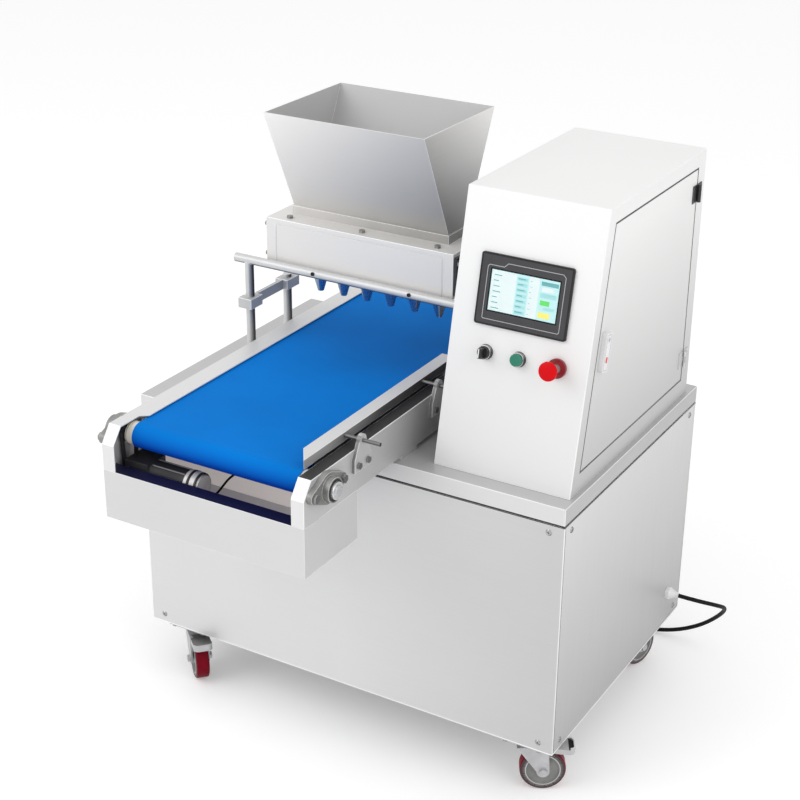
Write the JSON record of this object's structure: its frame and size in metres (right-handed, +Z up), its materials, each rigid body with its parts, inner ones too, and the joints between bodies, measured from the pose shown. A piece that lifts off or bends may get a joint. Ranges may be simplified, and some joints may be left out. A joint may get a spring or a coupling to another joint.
{
  "type": "cookie depositor",
  "caption": "Floor-standing cookie depositor on casters: cabinet base, belt conveyor with guide rail, hopper and nozzle head, lifting cutter bar and sloped control cabinet.",
  "frame": {"origin": "on the floor, under the middle of the base's width and of the machine's length; the box without the mains lead has its middle there too, but for a brake pedal that stands out on the right", "axes": "+Z up, +X to the machine's right (the control cabinet's side), +Y from its front to its back"},
  "size_m": [1.1758, 1.2425, 1.3487],
  "materials": {
    "stainless": "satin brushed stainless sheet",
    "cabinet_paint": "satin off-white powder coat",
    "machined_steel": "turned and ground steel",
    "zinc": "bright zinc plating",
    "bolt_steel": "plain bolts",
    "bearing_iron": "painted cast housings",
    "belt_blue": "smooth blue food belt",
    "roller_sleeve": "cream roller sleeve",
    "black_metal": "black paint",
    "black_rubber": "matt black rubber",
    "tread_red": "dark red tread on a gray hub",
    "chrome": "polished plating",
    "dark_plastic": "dark gray moulded housing",
    "black_plastic": "black moulded plastic",
    "green_plastic": "green cap",
    "red_plastic": "red mushroom cap",
    "module_gray": "gray module housings",
    "aluminium": "anodised blocks"
  },
  "bodies": {
    "machine": {"base_frame": "stainless", "base_panels": "stainless", "button_bezels": "chrome", "caster_plates": "zinc", "control_cabinet": "cabinet_paint", "conveyor_belt": "belt_blue", "conveyor_motor": "black_metal", "cord_coil": "black_rubber", "deck": "stainless", "electrical_panel": "module_gray", "feed_motor": "black_metal", "front_panel": "stainless", "front_tray": "stainless", "gland": "zinc", "guide_brackets": "stainless", "guide_post": "machined_steel", "head_body": "stainless", "head_carrier": "black_metal", "head_front_cover": "stainless", "hex_bolts": "bolt_steel", "hmi_panel": "dark_plastic", "hopper": "stainless", "left_side_member": "stainless", "lift_actuator": "black_metal", "nozzle_plate": "machined_steel", "nozzles": "machined_steel", "panel_screws": "chrome", "plug": "black_rubber", "power_cord": "black_rubber", "right_side_member": "stainless", "roller_bearings": "bearing_iron", "slider_bed": "stainless", "timing_belt": "black_rubber"},
    "front_roller_turning": {"front_roller": "roller_sleeve", "drive_pulley": "black_metal"},
    "rear_roller_turning": {"rear_roller": "roller_sleeve"},
    "motor_pulley_turning": {"motor_pulley": "black_metal"},
    "guide": {"guide_rail": "stainless"},
    "front_feed": {"front_feed_roller": "machined_steel", "front_feed_gear": "machined_steel"},
    "rear_feed": {"rear_feed_roller": "machined_steel", "rear_feed_gear": "machined_steel"},
    "cutter": {"cutter_bar": "machined_steel", "post_clamps": "aluminium", "link_bar": "machined_steel"},
    "door": {"cabinet_door": "cabinet_paint"},
    "latch": {"latch_handle": "chrome"},
    "selector": {"selector_knob": "black_plastic"},
    "start_button": {"green_button": "green_plastic"},
    "stop_button": {"estop_button": "red_plastic"},
    "front_left_caster": {"front_left_fork": "zinc"},
    "front_left_rolling": {"front_left_wheel": "tread_red"},
    "front_left_pedal": {"front_left_brake_pedal": "zinc"},
    "front_right_caster": {"front_right_fork": "zinc"},
    "front_right_rolling": {"front_right_wheel": "tread_red"},
    "front_right_pedal": {"front_right_brake_pedal": "zinc"},
    "rear_left_caster": {"rear_left_fork": "zinc"},
    "rear_left_rolling": {"rear_left_wheel": "tread_red"},
    "rear_right_caster": {"rear_right_fork": "zinc"},
    "rear_right_rolling": {"rear_right_wheel": "tread_red"}
  },
  "joints": [
    {"name": "front_left_swivel", "type": "hinge", "parent": "machine", "child": "front_left_caster", "pos_m": [-0.43, -0.138, 0.111], "axis": [0, 0, 1], "continuous": true},
    {"name": "front_left_spin", "type": "hinge", "parent": "front_left_caster", "child": "front_left_rolling", "pos_m": [-0.40513, -0.16119, 0.05], "axis": [0.682, 0.7314, 0], "continuous": true},
    {"name": "front_left_brake", "type": "hinge", "parent": "front_left_caster", "child": "front_left_pedal", "pos_m": [-0.40367, -0.16255, 0.1085], "axis": [0.682, 0.7314, 0], "range_deg": [0, 12]},
    {"name": "front_right_swivel", "type": "hinge", "parent": "machine", "child": "front_right_caster", "pos_m": [0.45, -0.138, 0.111], "axis": [0, 0, 1], "continuous": true},
    {"name": "front_right_spin", "type": "hinge", "parent": "front_right_caster", "child": "front_right_rolling", "pos_m": [0.47945, -0.121, 0.05], "axis": [-0.5, 0.866, 0], "continuous": true},
    {"name": "front_right_brake", "type": "hinge", "parent": "front_right_caster", "child": "front_right_pedal", "pos_m": [0.48118, -0.12, 0.1085], "axis": [-0.5, 0.866, 0], "range_deg": [-12, 0]},
    {"name": "rear_left_swivel", "type": "hinge", "parent": "machine", "child": "rear_left_caster", "pos_m": [-0.43, 0.4, 0.111], "axis": [0, 0, 1], "continuous": true},
    {"name": "rear_left_spin", "type": "hinge", "parent": "rear_left_caster", "child": "rear_left_rolling", "pos_m": [-0.447, 0.42945, 0.05], "axis": [-0.866, -0.5, 0], "continuous": true},
    {"name": "rear_right_swivel", "type": "hinge", "parent": "machine", "child": "rear_right_caster", "pos_m": [0.45, 0.4, 0.111], "axis": [0, 0, 1], "continuous": true},
    {"name": "rear_right_spin", "type": "hinge", "parent": "rear_right_caster", "child": "rear_right_rolling", "pos_m": [0.45994, 0.43251, 0.05], "axis": [-0.9563, 0.2924, 0], "continuous": true},
    {"name": "front_roller_spin", "type": "hinge", "parent": "machine", "child": "front_roller_turning", "pos_m": [-0.1007, -0.454, 0.783], "axis": [1, 0, 0], "continuous": true},
    {"name": "rear_roller_spin", "type": "hinge", "parent": "machine", "child": "rear_roller_turning", "pos_m": [-0.1007, 0.445, 0.783], "axis": [1, 0, 0], "continuous": true},
    {"name": "motor_pulley_spin", "type": "hinge", "parent": "machine", "child": "motor_pulley_turning", "pos_m": [-0.3367, -0.454, 0.705], "axis": [1, 0, 0], "continuous": true},
    {"name": "guide_slide", "type": "slide", "parent": "machine", "child": "guide", "axis": [1, 0, 0], "range_m": [-0.04, 0.008]},
    {"name": "front_feed_spin", "type": "hinge", "parent": "machine", "child": "front_feed", "pos_m": [-0.1007, 0.1228, 1.0442], "axis": [1, 0, 0], "continuous": true},
    {"name": "rear_feed_spin", "type": "hinge", "parent": "machine", "child": "rear_feed", "pos_m": [-0.1007, 0.1828, 1.0442], "axis": [1, 0, 0], "continuous": true},
    {"name": "cutter_slide", "type": "slide", "parent": "machine", "child": "cutter", "axis": [0, 0, 1], "range_m": [-0.02, 0]},
    {"name": "door_hinge", "type": "hinge", "parent": "machine", "child": "door", "pos_m": [0.5202, 0.43705, 0.712], "axis": [0, 0, 1], "range_deg": [0, 110]},
    {"name": "latch_turn", "type": "hinge", "parent": "door", "child": "latch", "pos_m": [0.5142, -0.01464, 1.01739], "axis": [1, 0, 0], "range_deg": [0, 90]},
    {"name": "selector_turn", "type": "hinge", "parent": "machine", "child": "selector", "pos_m": [0.291, -0.08285, 0.96242], "axis": [0, -0.9782, 0.2076], "range_deg": [-45, 45]},
    {"name": "start_press", "type": "slide", "parent": "machine", "child": "start_button", "axis": [0, 0.9782, -0.2076], "range_m": [0, 0.003], "stiffness_N_per_m": 300},
    {"name": "stop_press", "type": "slide", "parent": "machine", "child": "stop_button", "axis": [0, 0.9782, -0.2076], "range_m": [0, 0.006], "stiffness_N_per_m": 500}
  ],
  "couplings": [
    {"joint": "rear_roller_spin", "follows": "front_roller_spin", "ratio": 1},
    {"joint": "motor_pulley_spin", "follows": "front_roller_spin", "ratio": 1.375},
    {"joint": "rear_feed_spin", "follows": "front_feed_spin", "ratio": -1}
  ]
}
